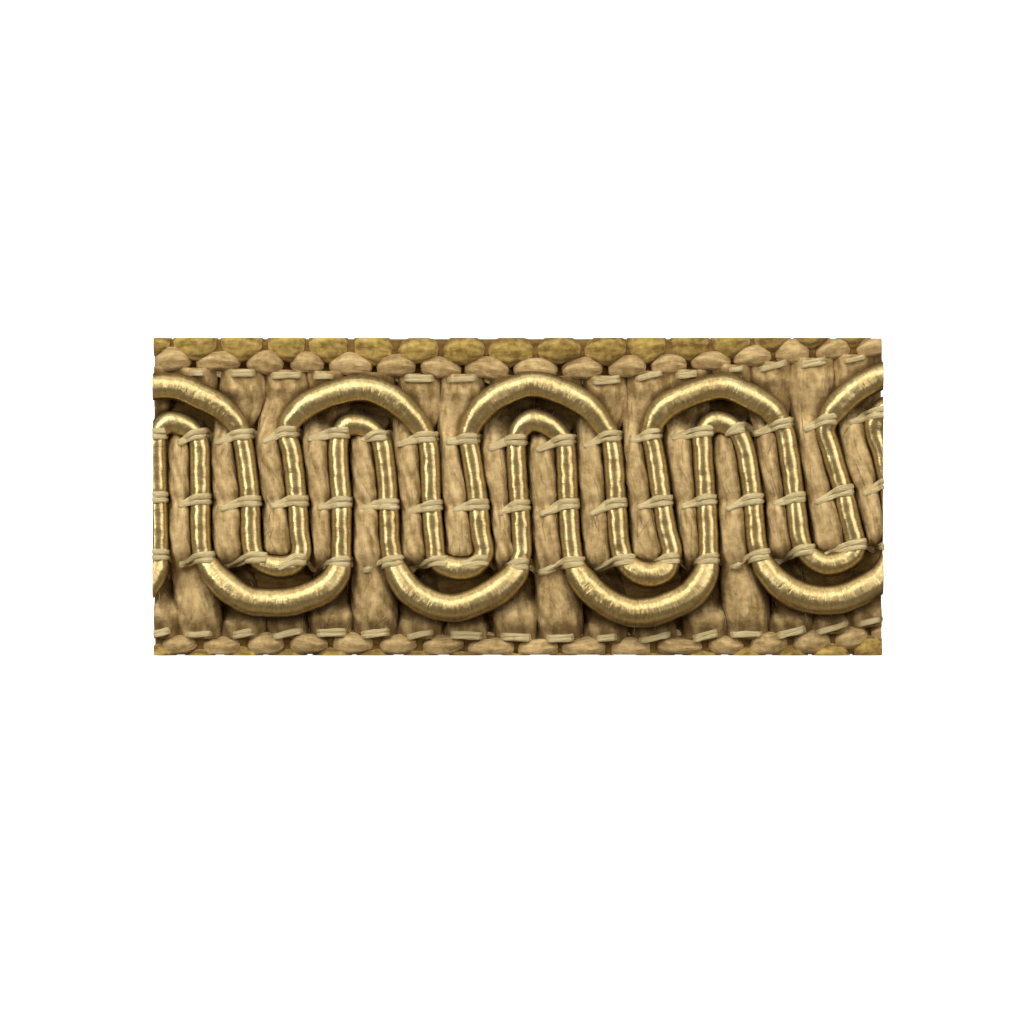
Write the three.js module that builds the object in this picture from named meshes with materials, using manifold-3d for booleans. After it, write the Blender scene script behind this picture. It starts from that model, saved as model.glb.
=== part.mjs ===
// A cut length of gimp braid: a soft woven ground with looped edges, two satin gimp cords
// laid over it in interleaved waves, and fine binding threads that hold the cords down.
// Millimetres. X runs along the braid, Y across it, Z up from the surface it lies on.
import * as THREE from 'three';
import { mergeVertices } from 'three/addons/utils/BufferGeometryUtils.js';
import Module from 'manifold-3d';

// Driving sizes
const LENGTH = 36.5; // between the two scissor cuts
const WIDTH = 16.1;
const CLEARANCE = 0.3; // between one piece and the next
const CORD = { width: 1.25, height: 1.1 };
const CORD_LIFT_IN_TURNS = 0.2; // the cords ride up on the weft where they turn
const THREAD = { width: 0.55, height: 0.24 }; // a pair of binding threads side by side
const GROUND = { valley: 1.0, pad: 1.6, pinched: 1.3, edge: 1.05, loop: 1.4, outerLoop: 1.1, rim: 0.5 };
const SCALLOP_DEPTH = 0.25; // how far the rim draws in between two loops

// Distances of the binding rows and of the edge's features from the braid's middle line
const ACROSS = {
  topGroove: 7.5, // between the inner and the outer loops
  topEdge: 6.6, // the edge thread that ties the loops
  upper: 3.55,
  middle: 0.05,
  lower: -2.68,
  bottomEdge: -6.5,
  bottomGroove: -7.6,
};

// The middle line lies in a slight bow, nearly straight at the left and turning up at the right
const BOW = { lowest: { x: 6.5, y: -0.62 }, left: 0.0006, right: 0.008 };

// The edge loops lean away from the pads they come from, by this share of a pick
const LOOP_SHIFT = 0.3;

// The middle of each gimp cord, as it was laid by hand: every wide turn, narrow turn and the
// strokes between them, each place as [x, y]
const CORD_ROUTES = {
  gimp_cord_a: [
    [-20.3, -5.2], [-18.8, -4.6], [-18.1, -3.6], [-18.0, -2.4], [-18.05, -0.2], [-18.1, 2.3],
    [-18.0, 3.2], [-17.45, 3.7], [-16.6, 3.5], [-16.0, 2.8], [-15.9, 1.3], [-15.9, -0.2],
    [-15.85, -2.4], [-15.55, -3.35], [-14.8, -4.3], [-13.65, -5.1], [-12.5, -5.3], [-11.15, -5.2],
    [-9.65, -4.6], [-8.95, -3.65], [-8.85, -2.6], [-8.85, -0.2], [-9.0, 2.1], [-8.85, 3.2],
    [-8.3, 3.6], [-7.45, 3.4], [-6.85, 2.7], [-6.6, 1.3], [-6.5, -0.2], [-6.4, -2.4],
    [-6.1, -3.6], [-5.4, -4.7], [-4.15, -5.4], [-2.9, -5.5], [-1.4, -4.9], [-0.25, -4.0],
    [0.15, -2.9], [0.15, -1.7], [0.05, -0.2], [-0.1, 2.1], [0.0, 3.2], [0.7, 3.8],
    [1.65, 3.5], [2.3, 2.7], [2.45, 1.3], [2.5, -0.2], [2.65, -2.4], [2.95, -3.7],
    [3.7, -4.7], [4.85, -5.5], [6.1, -5.8], [7.45, -5.5], [8.75, -4.8], [9.45, -3.6],
    [9.5, -2.2], [9.4, -0.2], [9.25, 2.1], [9.25, 3.1], [9.8, 3.7], [10.65, 3.5],
    [11.25, 2.7], [11.55, 1.3], [11.75, -0.2], [11.95, -2.4], [12.35, -3.5], [13.25, -4.5],
    [14.6, -5.1], [16.1, -5.1], [17.5, -4.5], [18.4, -3.7], [18.7, -2.4], [18.65, -0.2],
    [18.25, 2.0], [17.9, 3.0], [17.9, 3.8], [18.4, 4.4], [19.1, 4.3], [19.7, 3.6],
  ],
  gimp_cord_b: [
    [-20.15, 4.8], [-18.65, 5.4], [-17.15, 5.5], [-15.9, 5.0], [-14.8, 4.4], [-14.05, 3.6],
    [-13.75, 2.6], [-13.55, 1.3], [-13.4, -0.2], [-13.35, -2.2], [-13.05, -3.1], [-12.15, -3.5],
    [-11.3, -3.4], [-10.85, -2.8], [-10.95, -1.7], [-11.05, -0.2], [-11.3, 2.1], [-11.55, 3.1],
    [-11.3, 3.9], [-10.5, 4.6], [-9.35, 5.1], [-8.0, 5.4], [-6.9, 5.2], [-5.8, 4.5],
    [-4.9, 3.5], [-4.45, 2.3], [-4.35, -0.2], [-4.2, -2.2], [-4.0, -3.2], [-3.15, -3.6],
    [-2.2, -3.5], [-1.7, -2.8], [-1.9, -1.7], [-2.05, 0.1], [-2.35, 2.1], [-2.5, 3.1],
    [-2.05, 4.1], [-1.05, 5.0], [0.6, 5.6], [2.0, 5.3], [3.35, 4.6], [4.25, 3.6],
    [4.7, 2.5], [4.9, -0.2], [5.05, -2.2], [5.4, -3.3], [6.35, -3.9], [7.3, -3.7],
    [7.7, -2.8], [7.45, -1.7], [7.15, 0.1], [6.85, 2.1], [6.65, 3.2], [7.15, 4.3],
    [8.35, 5.0], [10.1, 5.5], [11.35, 5.1], [12.55, 4.4], [13.25, 3.4], [13.55, 2.1],
    [13.85, -0.2], [14.1, -2.1], [14.5, -2.9], [15.35, -3.4], [16.35, -3.2], [16.9, -2.6],
    [16.65, -1.4], [16.25, 0.3], [15.65, 2.3], [15.35, 3.4], [15.95, 4.5], [17.0, 5.4],
    [18.25, 6.05], [19.35, 6.2],
  ],
};

// Heights worked out from the sizes
const CORD_MIDDLE = GROUND.valley + CLEARANCE + CORD.height / 2;
const THREAD_OVER_PAD = GROUND.pad + CLEARANCE + THREAD.height / 2;
const THREAD_ROUND_CORD = CORD.height / 2 + CLEARANCE + THREAD.height / 2;

const { clamp, lerp, smoothstep } = THREE.MathUtils;

// How the middle line's bow moves what lies on it across the braid
function bow(x) {
  const curl = x > BOW.lowest.x ? BOW.right : BOW.left;
  return BOW.lowest.y + curl * (x - BOW.lowest.x) ** 2;
}

function cordHeight(y) {
  return CORD_MIDDLE + CORD_LIFT_IN_TURNS * smoothstep(Math.abs(y), 3, 5);
}

// A curve whose steps fall evenly between its own points, so that bends get more than straights
class LaidCurve extends THREE.CatmullRomCurve3 {
  getUtoTmapping(u) {
    return u;
  }
}

const STEPS_PER_POINT = 2;

function cordCurve(route) {
  return new LaidCurve(route.map(([x, y]) => new THREE.Vector3(x, y, cordHeight(y))));
}

const cordCurves = Object.entries(CORD_ROUTES).map(([name, route]) => ({
  name,
  curve: cordCurve(route),
  steps: STEPS_PER_POINT * (route.length - 1),
}));
const cordLines = cordCurves.map(({ curve, steps }) => curve.getSpacedPoints(steps));

// The nearest place on either cord, and its distance over the cloth
function nearestCord(x, y) {
  let nearest = { distance: Infinity, height: CORD_MIDDLE };
  for (const line of cordLines) {
    for (let i = 1; i < line.length; i += 1) {
      const [a, b] = [line[i - 1], line[i]];
      const lengthSquared = (b.x - a.x) ** 2 + (b.y - a.y) ** 2;
      const dot = (x - a.x) * (b.x - a.x) + (y - a.y) * (b.y - a.y);
      const share = clamp(dot / lengthSquared, 0, 1);
      const distance = Math.hypot(x - lerp(a.x, b.x, share), y - lerp(a.y, b.y, share));
      if (distance < nearest.distance) nearest = { distance, height: lerp(a.z, b.z, share) };
    }
  }
  return nearest;
}

// Where the cords' strokes cross a line along the braid, from left to right
function crossings(y) {
  const found = [];
  for (const line of cordLines) {
    for (let i = 1; i < line.length; i += 1) {
      const [a, b] = [line[i - 1], line[i]];
      if (a.y < y !== b.y < y) found.push(lerp(a.x, b.x, (y - a.y) / (b.y - a.y)));
    }
  }
  return found.sort((left, right) => left - right);
}

// Strokes of the cords at the heights where all of them stand, which set the weft's places
const STROKE_LEVELS = [-2.3, -0.2, 2.7];
const strokes = STROKE_LEVELS.map(crossings);
const PICKS = strokes[1].length - 1;

function strokeX(index, y) {
  const [low, middle, high] = strokes.map((level) => level[index]);
  const above = clamp((y - STROKE_LEVELS[1]) / (STROKE_LEVELS[2] - STROKE_LEVELS[1]), 0, 1);
  const below = clamp((y - STROKE_LEVELS[1]) / (STROKE_LEVELS[0] - STROKE_LEVELS[1]), 0, 1);
  return middle + (high - middle) * above + (low - middle) * below;
}

// A pick's place is counted in strokes: whole numbers lie under strokes, halves lie midway
function pickAt(x, y) {
  for (let i = 0; i < PICKS; i += 1) {
    const [left, right] = [strokeX(i, y), strokeX(i + 1, y)];
    if (x <= right || i === PICKS - 1) return i + (x - left) / (right - left);
  }
  return 0;
}

function ridge(distance, width) {
  return Math.exp(-((distance / width) ** 2));
}

// How full the loops stand at a pick's place: one in the middle of a loop, none between two
function loopFullness(pick, shift) {
  return Math.abs(Math.sin(Math.PI * (pick + shift)));
}

// Height of the woven ground's upper face: soft pads between the strokes, drawn in under each
// binding row, then the tied loops of the edge and the outer loops beyond them
function groundHeight(x, y) {
  const across = y - bow(x);
  const onTop = across > 0;
  const pick = pickAt(x, y);
  const edgeRow = onTop ? ACROSS.topEdge : ACROSS.bottomEdge;
  const groove = onTop ? ACROSS.topGroove : ACROSS.bottomGroove;
  const full = 0.5 - 0.5 * Math.cos(2 * Math.PI * pick);
  const rows = [ACROSS.upper, ACROSS.middle, ACROSS.lower];
  const pinch = Math.max(...rows.map((row) => ridge(across - row, 0.4)));
  const pad = lerp(GROUND.valley, lerp(GROUND.pad, GROUND.pinched, pinch), full);
  const inner = lerp(GROUND.edge, GROUND.loop, loopFullness(pick, LOOP_SHIFT));
  const outer = lerp(GROUND.edge - 0.2, GROUND.outerLoop, loopFullness(pick, LOOP_SHIFT + 0.5));
  const reach = Math.abs(across);
  let height = lerp(pad, inner, smoothstep(reach, Math.abs(edgeRow) - 0.5, Math.abs(edgeRow) + 0.3));
  height = lerp(height, outer, smoothstep(reach, Math.abs(groove) - 0.1, Math.abs(groove) + 0.1));
  height -= 0.3 * ridge(reach - Math.abs(groove), 0.15);
  const tied = 1 - loopFullness(pick, LOOP_SHIFT);
  height = lerp(height, lerp(GROUND.edge, GROUND.loop + 0.1, tied), ridge(reach - Math.abs(edgeRow), 0.2));
  const cord = nearestCord(x, y);
  const clear = CORD.width / 2 + CLEARANCE;
  const underCord = cord.height - CORD.height / 2 - CLEARANCE + 2.4 * Math.max(cord.distance - clear, 0);
  return Math.min(height, underCord);
}

// Rows of the ground's grid, as distances from the bowed middle line between the two rims
const GRID_ROWS = [
  ACROSS.bottomGroove, -7.2, -6.8, ACROSS.bottomEdge, -6.2, -5.6, -5.0, -4.3, -3.6, -3.1,
  ACROSS.lower, -2.2, -1.5, -0.7, ACROSS.middle, 0.8, 1.6, 2.5, 3.1, ACROSS.upper, 4.0, 4.7,
  5.4, 6.0, 6.3, ACROSS.topEdge, 6.9, 7.2, ACROSS.topGroove,
];
const COLUMNS_PER_PICK = 5;
const RIM_MARGIN = 0.14; // the least distance from a rim to the first row inside it

function rimY(x, side) {
  const pick = pickAt(x, side * WIDTH);
  const draw = SCALLOP_DEPTH * (1 - loopFullness(pick, LOOP_SHIFT + 0.5) ** 0.7);
  return side * (WIDTH / 2 - draw);
}

function ground() {
  const columns = Math.round((LENGTH / (strokes[1][PICKS] - strokes[1][0])) * PICKS * COLUMNS_PER_PICK);
  const grid = [];
  for (let i = 0; i <= columns; i += 1) {
    const x = lerp(-LENGTH / 2, LENGTH / 2, i / columns);
    const [bottom, top] = [rimY(x, -1), rimY(x, 1)];
    const inside = GRID_ROWS.map((across, row) => {
      const marginRows = Math.min(row, GRID_ROWS.length - 1 - row) + 1;
      const margin = RIM_MARGIN * marginRows;
      const y = clamp(across + bow(x), bottom + margin, top - margin);
      return new THREE.Vector3(x, y, groundHeight(x, y));
    });
    grid.push([
      new THREE.Vector3(x, bottom, GROUND.rim),
      ...inside,
      new THREE.Vector3(x, top, GROUND.rim),
    ]);
  }
  return slab(grid);
}

// A solid with a flat underside, from a grid of places on its upper face
function slab(grid) {
  const columns = grid.length;
  const rows = grid[0].length;
  const positions = grid.flat().flatMap((p) => p.toArray());
  const at = (i, j) => i * rows + j;
  const index = [];
  for (let i = 0; i < columns - 1; i += 1) {
    for (let j = 0; j < rows - 1; j += 1) {
      index.push(at(i, j), at(i + 1, j), at(i + 1, j + 1));
      index.push(at(i, j), at(i + 1, j + 1), at(i, j + 1));
    }
  }
  const rim = [];
  for (let i = 0; i < columns - 1; i += 1) rim.push(at(i, 0));
  for (let j = 0; j < rows - 1; j += 1) rim.push(at(columns - 1, j));
  for (let i = columns - 1; i > 0; i -= 1) rim.push(at(i, rows - 1));
  for (let j = rows - 1; j > 0; j -= 1) rim.push(at(0, j));
  const under = columns * rows;
  const outline = rim.map((v) => new THREE.Vector2(positions[3 * v], positions[3 * v + 1]));
  outline.forEach((p) => positions.push(p.x, p.y, 0));
  rim.forEach((v, i) => {
    const next = (i + 1) % rim.length;
    index.push(v, under + i, under + next);
    index.push(v, under + next, rim[next]);
  });
  for (const [a, b, c] of THREE.ShapeUtils.triangulateShape(outline, [])) {
    index.push(under + a, under + c, under + b);
  }
  const geometry = new THREE.BufferGeometry();
  geometry.setAttribute('position', new THREE.Float32BufferAttribute(positions, 3));
  geometry.setIndex(index);
  return geometry;
}

// A closed outline for a sweep, whose first measure stands up and whose second lies across.
// Four sides give a flat band, and more give an oval.
function section(height, width, sides) {
  const stretch = sides === 4 ? Math.SQRT1_2 : 0.5;
  const corners = [];
  for (let i = 0; i < sides; i += 1) {
    const angle = (2 * Math.PI * (i + 0.5)) / sides;
    corners.push(new THREE.Vector2(height * stretch * Math.cos(angle), width * stretch * Math.sin(angle)));
  }
  return new THREE.Shape(corners);
}

const wasm = await Module();
wasm.setup();

function solid(geometry) {
  geometry.deleteAttribute('normal');
  geometry.deleteAttribute('uv');
  const merged = mergeVertices(geometry, 1e-4);
  return new wasm.Manifold(new wasm.Mesh({
    numProp: 3,
    vertProperties: merged.attributes.position.array,
    triVerts: new Uint32Array(merged.index.array),
  }));
}

// Cuts a solid straight through at both ends of the braid
function cutToLength(body) {
  const cut = body.trimByPlane([1, 0, 0], -LENGTH / 2).trimByPlane([-1, 0, 0], -LENGTH / 2);
  const mesh = cut.getMesh();
  const geometry = new THREE.BufferGeometry();
  geometry.setAttribute('position', new THREE.Float32BufferAttribute(mesh.vertProperties, 3));
  geometry.setIndex([...mesh.triVerts]);
  return geometry;
}

function gimpCord({ curve, steps }) {
  const shape = section(CORD.height, CORD.width, 8);
  return cutToLength(solid(new THREE.ExtrudeGeometry(shape, { steps, extrudePath: curve })));
}

// A pair of binding threads along a row, over each cord and down onto the pads between them
const THREAD_STEP = 0.41;
const PAST_THE_CUT = 0.3;

function bindingThreads(row) {
  const half = LENGTH / 2 + PAST_THE_CUT;
  const steps = Math.round((2 * half) / THREAD_STEP);
  const places = [];
  for (let i = 0; i <= steps; i += 1) {
    const x = lerp(-half, half, i / steps);
    const y = row + bow(x);
    const cord = nearestCord(x, y);
    const over = Math.sqrt(Math.max(THREAD_ROUND_CORD ** 2 - cord.distance ** 2, 0));
    places.push(new THREE.Vector3(x, y, Math.max(THREAD_OVER_PAD, cord.height + over)));
  }
  places[0].z = places[1].z; // a level start keeps the section upright
  const shape = section(THREAD.height, THREAD.width, 4);
  const extrudePath = new LaidCurve(places);
  return cutToLength(solid(new THREE.ExtrudeGeometry(shape, { steps, extrudePath })));
}

const COTTON = new THREE.MeshStandardMaterial({ color: 0xb49664, roughness: 0.95, metalness: 0 });
const SATIN = new THREE.MeshStandardMaterial({ color: 0xc8ae68, roughness: 0.35, metalness: 0 });
const BINDING = new THREE.MeshStandardMaterial({ color: 0xd2ba88, roughness: 0.75, metalness: 0 });

const braid = new THREE.Group();

function add(name, geometry, material) {
  const mesh = new THREE.Mesh(geometry, material);
  mesh.name = name;
  braid.add(mesh);
}

add('ground', ground(), COTTON);
cordCurves.forEach((cord) => add(cord.name, gimpCord(cord), SATIN));
add('binding_upper', bindingThreads(ACROSS.upper), BINDING);
add('binding_middle', bindingThreads(ACROSS.middle), BINDING);
add('binding_lower', bindingThreads(ACROSS.lower), BINDING);

export default braid;
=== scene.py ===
"""Gimp braid: satin gimp cords laid in waves over soft cotton weft, tied down with fine thread."""

import math

import bmesh
import bpy
import numpy as np
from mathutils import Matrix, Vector, kdtree


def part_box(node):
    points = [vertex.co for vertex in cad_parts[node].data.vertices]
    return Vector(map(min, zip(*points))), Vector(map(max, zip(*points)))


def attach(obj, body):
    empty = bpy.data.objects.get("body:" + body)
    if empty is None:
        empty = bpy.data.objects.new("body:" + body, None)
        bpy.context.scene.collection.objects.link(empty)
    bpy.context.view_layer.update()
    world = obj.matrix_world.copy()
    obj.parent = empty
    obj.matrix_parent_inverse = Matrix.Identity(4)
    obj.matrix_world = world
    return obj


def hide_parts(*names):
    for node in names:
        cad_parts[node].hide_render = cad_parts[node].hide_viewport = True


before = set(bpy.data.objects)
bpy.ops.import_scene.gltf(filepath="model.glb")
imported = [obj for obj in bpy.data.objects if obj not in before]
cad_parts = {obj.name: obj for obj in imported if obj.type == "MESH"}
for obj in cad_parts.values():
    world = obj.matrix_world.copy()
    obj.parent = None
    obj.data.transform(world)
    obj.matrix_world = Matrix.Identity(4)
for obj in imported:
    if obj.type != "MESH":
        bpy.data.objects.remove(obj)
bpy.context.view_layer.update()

MM = 0.001
RANDOM = np.random.default_rng(20)

# Sizes in millimetres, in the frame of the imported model
GROUND_HIGH = np.array(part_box("ground")[1]) / MM
CUT = GROUND_HIGH[0]  # both ends are cut at this distance from the middle
RIM = GROUND_HIGH[1] - 0.09  # and the edges lie at this one, just inside the solid's

CORD_RADIUS = 0.53
CORD_MIDDLE = 1.85  # height of a cord's centre over the surface
CORD_LIFT = 0.22  # how much higher it rides where it turns
CORD_SWELL = (0.22, 0.15)  # how much thicker it is in its lower and its upper turns
CORD_SIDES = 24
CORD_CLEARANCE = 0.01
CORD_PAINTED_SHADE = 0.85  # painted shade: how much darker the weft is right beside a cord
CORD_PAINTED_SHADE_REACH = 0.36
WINDING_PITCH = 0.15
WINDING_STARTS = 6
WINDING_DEPTH = 0.007
WINDING_KINDS = 997  # how many turns differ in height before they repeat
LUMPS_ROUND = 8
LUMP_DEPTH = 0.018
TIE_SQUEEZE = 0.07  # the share of its radius that a cord loses under a tie
THREAD_WIDTH = 0.14
THREAD_HEIGHT = 0.07
THREAD_SIDES = 12
THREAD_PLIES = 3
THREAD_STEP = 0.05
STROKE_GAP = 2.3  # between neighbouring cords, also beyond the outermost ones

# Lines of the binding rows and of the two edges, each place as x, y
ROWS = {
    "top_edge": [
        (-19, 6.3), (-16.3, 6.2), (-11.6, 6.1), (-5, 5.9), (-2.9, 5.9), (2, 5.8), (4.3, 5.8),
        (6.6, 6.05), (8.5, 6.1), (10.6, 6.35), (12.6, 6.5), (14.7, 6.7), (16.7, 6.85), (19, 7.1),
    ],
    "upper": [
        (-19, 3.05), (-16.2, 3.02), (-11.7, 3.14), (-4.9, 2.97), (-2.5, 2.82), (2, 2.75), (6.3, 3.0),
        (9.5, 3.2), (12.9, 3.5), (15.6, 3.82), (19, 4.2),
    ],
    "middle": [
        (-19, -0.15), (-16.2, -0.22), (-11.7, -0.31), (-7.3, -0.42), (-4.9, -0.6), (-2.5, -0.5),
        (2.5, -0.47), (6.3, -0.31), (10, -0.22), (13.4, -0.18), (15.6, 0.1), (17.8, 0.5), (19, 0.75),
    ],
    "lower": [
        (-19, -3.0), (-16.3, -3.08), (-13.4, -3.13), (-7, -3.33), (-4.2, -3.23), (1.2, -3.42),
        (4.4, -3.3), (11, -3.16), (13.6, -2.78), (16, -2.6), (19, -2.2),
    ],
    "bottom_edge": [
        (-19, -6.85), (-16.3, -6.9), (-9.2, -6.8), (-4.7, -6.9), (2, -7.1), (6.6, -7.05),
        (11.9, -6.9), (13.9, -6.8), (16, -6.6), (17.6, -6.3), (19, -6.1),
    ],
}
BINDING_ROWS = ("upper", "middle", "lower")

# The middle of each gimp cord, as in the imported model, each place as x, y
CORD_A = [
    (-20.3, -5.2), (-18.8, -4.6), (-18.1, -3.6), (-18.0, -2.4), (-18.05, -0.2), (-18.1, 2.3),
    (-18.0, 3.2), (-17.45, 3.7), (-16.6, 3.5), (-16.0, 2.8), (-15.9, 1.3), (-15.9, -0.2),
    (-15.85, -2.4), (-15.55, -3.35), (-14.8, -4.3), (-13.65, -5.1), (-12.5, -5.3), (-11.15, -5.2),
    (-9.65, -4.6), (-8.95, -3.65), (-8.85, -2.6), (-8.85, -0.2), (-9.0, 2.1), (-8.85, 3.2),
    (-8.3, 3.6), (-7.45, 3.4), (-6.85, 2.7), (-6.6, 1.3), (-6.5, -0.2), (-6.4, -2.4),
    (-6.1, -3.6), (-5.4, -4.7), (-4.15, -5.4), (-2.9, -5.5), (-1.4, -4.9), (-0.25, -4.0),
    (0.15, -2.9), (0.15, -1.7), (0.05, -0.2), (-0.1, 2.1), (0.0, 3.2), (0.7, 3.8),
    (1.65, 3.5), (2.3, 2.7), (2.45, 1.3), (2.5, -0.2), (2.65, -2.4), (2.95, -3.7),
    (3.7, -4.7), (4.85, -5.5), (6.1, -5.8), (7.45, -5.5), (8.75, -4.8), (9.45, -3.6),
    (9.5, -2.2), (9.4, -0.2), (9.25, 2.1), (9.25, 3.1), (9.8, 3.7), (10.65, 3.5),
    (11.25, 2.7), (11.55, 1.3), (11.75, -0.2), (11.95, -2.4), (12.35, -3.5), (13.25, -4.5),
    (14.6, -5.1), (16.1, -5.1), (17.5, -4.5), (18.4, -3.7), (18.7, -2.4), (18.65, -0.2),
    (18.25, 2.0), (17.9, 3.0), (17.9, 3.8), (18.4, 4.4), (19.1, 4.3), (19.7, 3.6),
]
CORD_B = [
    (-20.15, 4.8), (-18.65, 5.4), (-17.15, 5.5), (-15.9, 5.0), (-14.8, 4.4), (-14.05, 3.6),
    (-13.75, 2.6), (-13.55, 1.3), (-13.4, -0.2), (-13.35, -2.2), (-13.05, -3.1), (-12.15, -3.5),
    (-11.3, -3.4), (-10.85, -2.8), (-10.95, -1.7), (-11.05, -0.2), (-11.3, 2.1), (-11.55, 3.1),
    (-11.3, 3.9), (-10.5, 4.6), (-9.35, 5.1), (-8.0, 5.4), (-6.9, 5.2), (-5.8, 4.5),
    (-4.9, 3.5), (-4.45, 2.3), (-4.35, -0.2), (-4.2, -2.2), (-4.0, -3.2), (-3.15, -3.6),
    (-2.2, -3.5), (-1.7, -2.8), (-1.9, -1.7), (-2.05, 0.1), (-2.35, 2.1), (-2.5, 3.1),
    (-2.05, 4.1), (-1.05, 5.0), (0.6, 5.6), (2.0, 5.3), (3.35, 4.6), (4.25, 3.6),
    (4.7, 2.5), (4.9, -0.2), (5.05, -2.2), (5.4, -3.3), (6.35, -3.9), (7.3, -3.7),
    (7.7, -2.8), (7.45, -1.7), (7.15, 0.1), (6.85, 2.1), (6.65, 3.2), (7.15, 4.3),
    (8.35, 5.0), (10.1, 5.5), (11.35, 5.1), (12.55, 4.4), (13.25, 3.4), (13.55, 2.1),
    (13.85, -0.2), (14.1, -2.1), (14.5, -2.9), (15.35, -3.4), (16.35, -3.2), (16.9, -2.6),
    (16.65, -1.4), (16.25, 0.3), (15.65, 2.3), (15.35, 3.4), (15.95, 4.5), (17.0, 5.4),
    (18.25, 6.05), (19.35, 6.2),
]

# Where each weft bundle meets the two edge threads, from left to right
WEFT_ENDS = {
    "top": [-18.4, -16.25, -13.8, -11.6, -9.55, -7.25, -4.95, -2.8, -0.35, 2.1, 4.4, 6.55, 8.6, 10.75,
            12.75, 14.75, 16.85, 18.95],
    "bottom": [-18.0, -16.0, -13.75, -11.55, -9.35, -7.15, -4.9, -2.6, -0.1, 2.1, 4.45, 6.85, 9.4,
               11.45, 13.7, 15.75, 17.6, 19.7],
}


def row(name, x):
    """How far up the braid a row lies at each place along it."""
    places = np.array(ROWS[name])
    return np.interp(x, places[:, 0], places[:, 1])


def smooth(points):
    """A smooth line through given points."""
    per_span = 12
    p = np.asarray(points, float)
    p = np.vstack([2 * p[0] - p[1], p, 2 * p[-1] - p[-2]])
    t = np.linspace(0, 1, per_span, endpoint=False)[:, None]
    spans = [
        b + 0.5 * t * (c - a + t * (2 * a - 5 * b + 4 * c - d + t * (3 * b - a - 3 * c + d)))
        for a, b, c, d in zip(p, p[1:], p[2:], p[3:])
    ]
    return np.vstack([*spans, p[-2:-1]])


def run_of(line):
    """How far each point lies along a line."""
    return np.concatenate([[0], np.cumsum(np.linalg.norm(np.diff(line, axis=0), axis=1))])


def even(line, step):
    """The same line with its points a step apart."""
    run = run_of(line)
    places = np.linspace(0, run[-1], max(2, round(run[-1] / step)) + 1)
    return np.column_stack([np.interp(places, run, column) for column in line.T])


def soften(values, reach):
    """Evens out a list of values along a strand."""
    kernel = np.hanning(2 * reach + 3)[1:-1]
    return np.convolve(np.pad(values, reach, mode="edge"), kernel / kernel.sum(), mode="valid")


def ease(value, low, high):
    """Goes softly from 0 to 1 as the value goes from low to high."""
    t = np.clip((value - low) / (high - low), 0, 1)
    return t * t * (3 - 2 * t)


def drift(places, wavelength, seed):
    """A slow random wander between -1 and 1 along a strand."""
    count = 4096
    knots = np.random.default_rng(seed).uniform(-1, 1, count)
    at = np.asarray(places) / wavelength + 1000
    low = np.floor(at).astype(int)
    share = ease(at - low, 0, 1)
    return knots[low % count] * (1 - share) + knots[(low + 1) % count] * share


def cord_line(route, step):
    """A cord's middle line with its height, its points a step apart."""
    flat = even(smooth(route), step)
    height = CORD_MIDDLE + CORD_LIFT * ease(np.abs(flat[:, 1]), 3, 5)
    return np.column_stack([flat, height])


CORD_LINES = [cord_line(route, 0.08) for route in (CORD_A, CORD_B)]
CORD_PLACES = np.vstack(CORD_LINES)


def tree_of(places):
    """Places over the cloth, ready to be searched for the nearest."""
    tree = kdtree.KDTree(len(places))
    for number, (x, y, _) in enumerate(places):
        tree.insert((x, y, 0), number)
    tree.balance()
    return tree


CORD_TREE = tree_of(CORD_PLACES)
EACH_CORD_TREE = [tree_of(line) for line in CORD_LINES]


def distance_to(tree, x, y):
    """The distance over the cloth to the nearest place in a tree."""
    return np.array([tree.find((a, b, 0))[2] for a, b in zip(x, y)])


def cord_radius(y):
    """The cords are pressed thin between the bundles and swell where they turn."""
    return CORD_RADIUS + CORD_SWELL[0] * ease(-y, 2.6, 4.8) + CORD_SWELL[1] * ease(y, 2.9, 5.0)


def nearest_cord(x, y):
    """The distance over the cloth to the nearest cord, and the place on that cord's middle line."""
    found = [CORD_TREE.find((a, b, 0)) for a, b in zip(x, y)]
    return np.array([f[2] for f in found]), CORD_PLACES[[f[1] for f in found]]


def clear_of_cords(places):
    """Moves points that lie inside a cord out to its surface."""
    flat = places.reshape(-1, 3)
    _, axis = nearest_cord(flat[:, 0], flat[:, 1])
    away = flat - axis
    distance = np.linalg.norm(away, axis=1)
    reach = cord_radius(axis[:, 1]) + CORD_CLEARANCE
    inside = distance < reach
    scale = reach / np.maximum(distance, 0.05)
    moved = np.where(inside[:, None], axis + away * scale[:, None], flat)
    return moved.reshape(places.shape)


def painted_shade_beside_cords(places):
    """Painted shade: how much darker the weft is painted where it lies close along a cord."""
    flat = places.reshape(-1, 3)
    distance, axis = nearest_cord(flat[:, 0], flat[:, 1])
    gap = distance - cord_radius(axis[:, 1])
    return (CORD_PAINTED_SHADE * (1 - ease(gap, 0.0, CORD_PAINTED_SHADE_REACH))).reshape(places.shape[:2])


def crossings(line_y):
    """Where the cords cross a line along the braid, from left to right."""
    found = []
    for line in CORD_LINES:
        gap = line[:, 1] - line_y(line[:, 0])
        for i in np.nonzero(gap[:-1] * gap[1:] < 0)[0]:
            share = gap[i] / (gap[i] - gap[i + 1])
            found.append(line[i, 0] + share * (line[i + 1, 0] - line[i, 0]))
    return np.sort(found)


def frames(line):
    """Directions along a line, to its left, and up from it."""
    tangent = np.gradient(line, axis=0)
    tangent /= np.linalg.norm(tangent, axis=1)[:, None]
    side = np.cross([0.0, 0.0, 1.0], tangent)
    side /= np.linalg.norm(side, axis=1)[:, None] + 1e-12
    return tangent, side, np.cross(tangent, side)


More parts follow.
